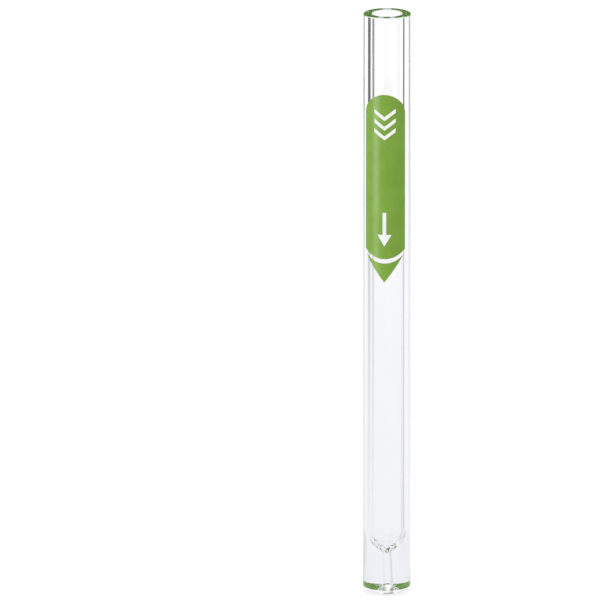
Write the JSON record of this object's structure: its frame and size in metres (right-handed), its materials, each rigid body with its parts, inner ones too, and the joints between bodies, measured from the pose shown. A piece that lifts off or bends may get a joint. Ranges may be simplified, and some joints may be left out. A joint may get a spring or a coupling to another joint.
{
  "type": "gc inlet liner",
  "caption": "Clear glass inlet liner tube with a plain bore that narrows to a neck at the outlet end, and a green flow-direction label fired on its outside.",
  "frame": {"origin": "centre of the outlet face, which the liner stands on", "axes": "+Z along the tube's axis from the outlet end up to the inlet end, -Y out through the middle of the label"},
  "size_m": [0.0063, 0.0063, 0.0785],
  "materials": {
    "borosilicate_glass": "clear, drawn and fire polished",
    "fired_ink": "fired ink, satin"
  },
  "bodies": {
    "root": {"liner_tube": "borosilicate_glass", "label_panel": "fired_ink", "label_arrowhead": "fired_ink"}
  },
  "joints": []
}
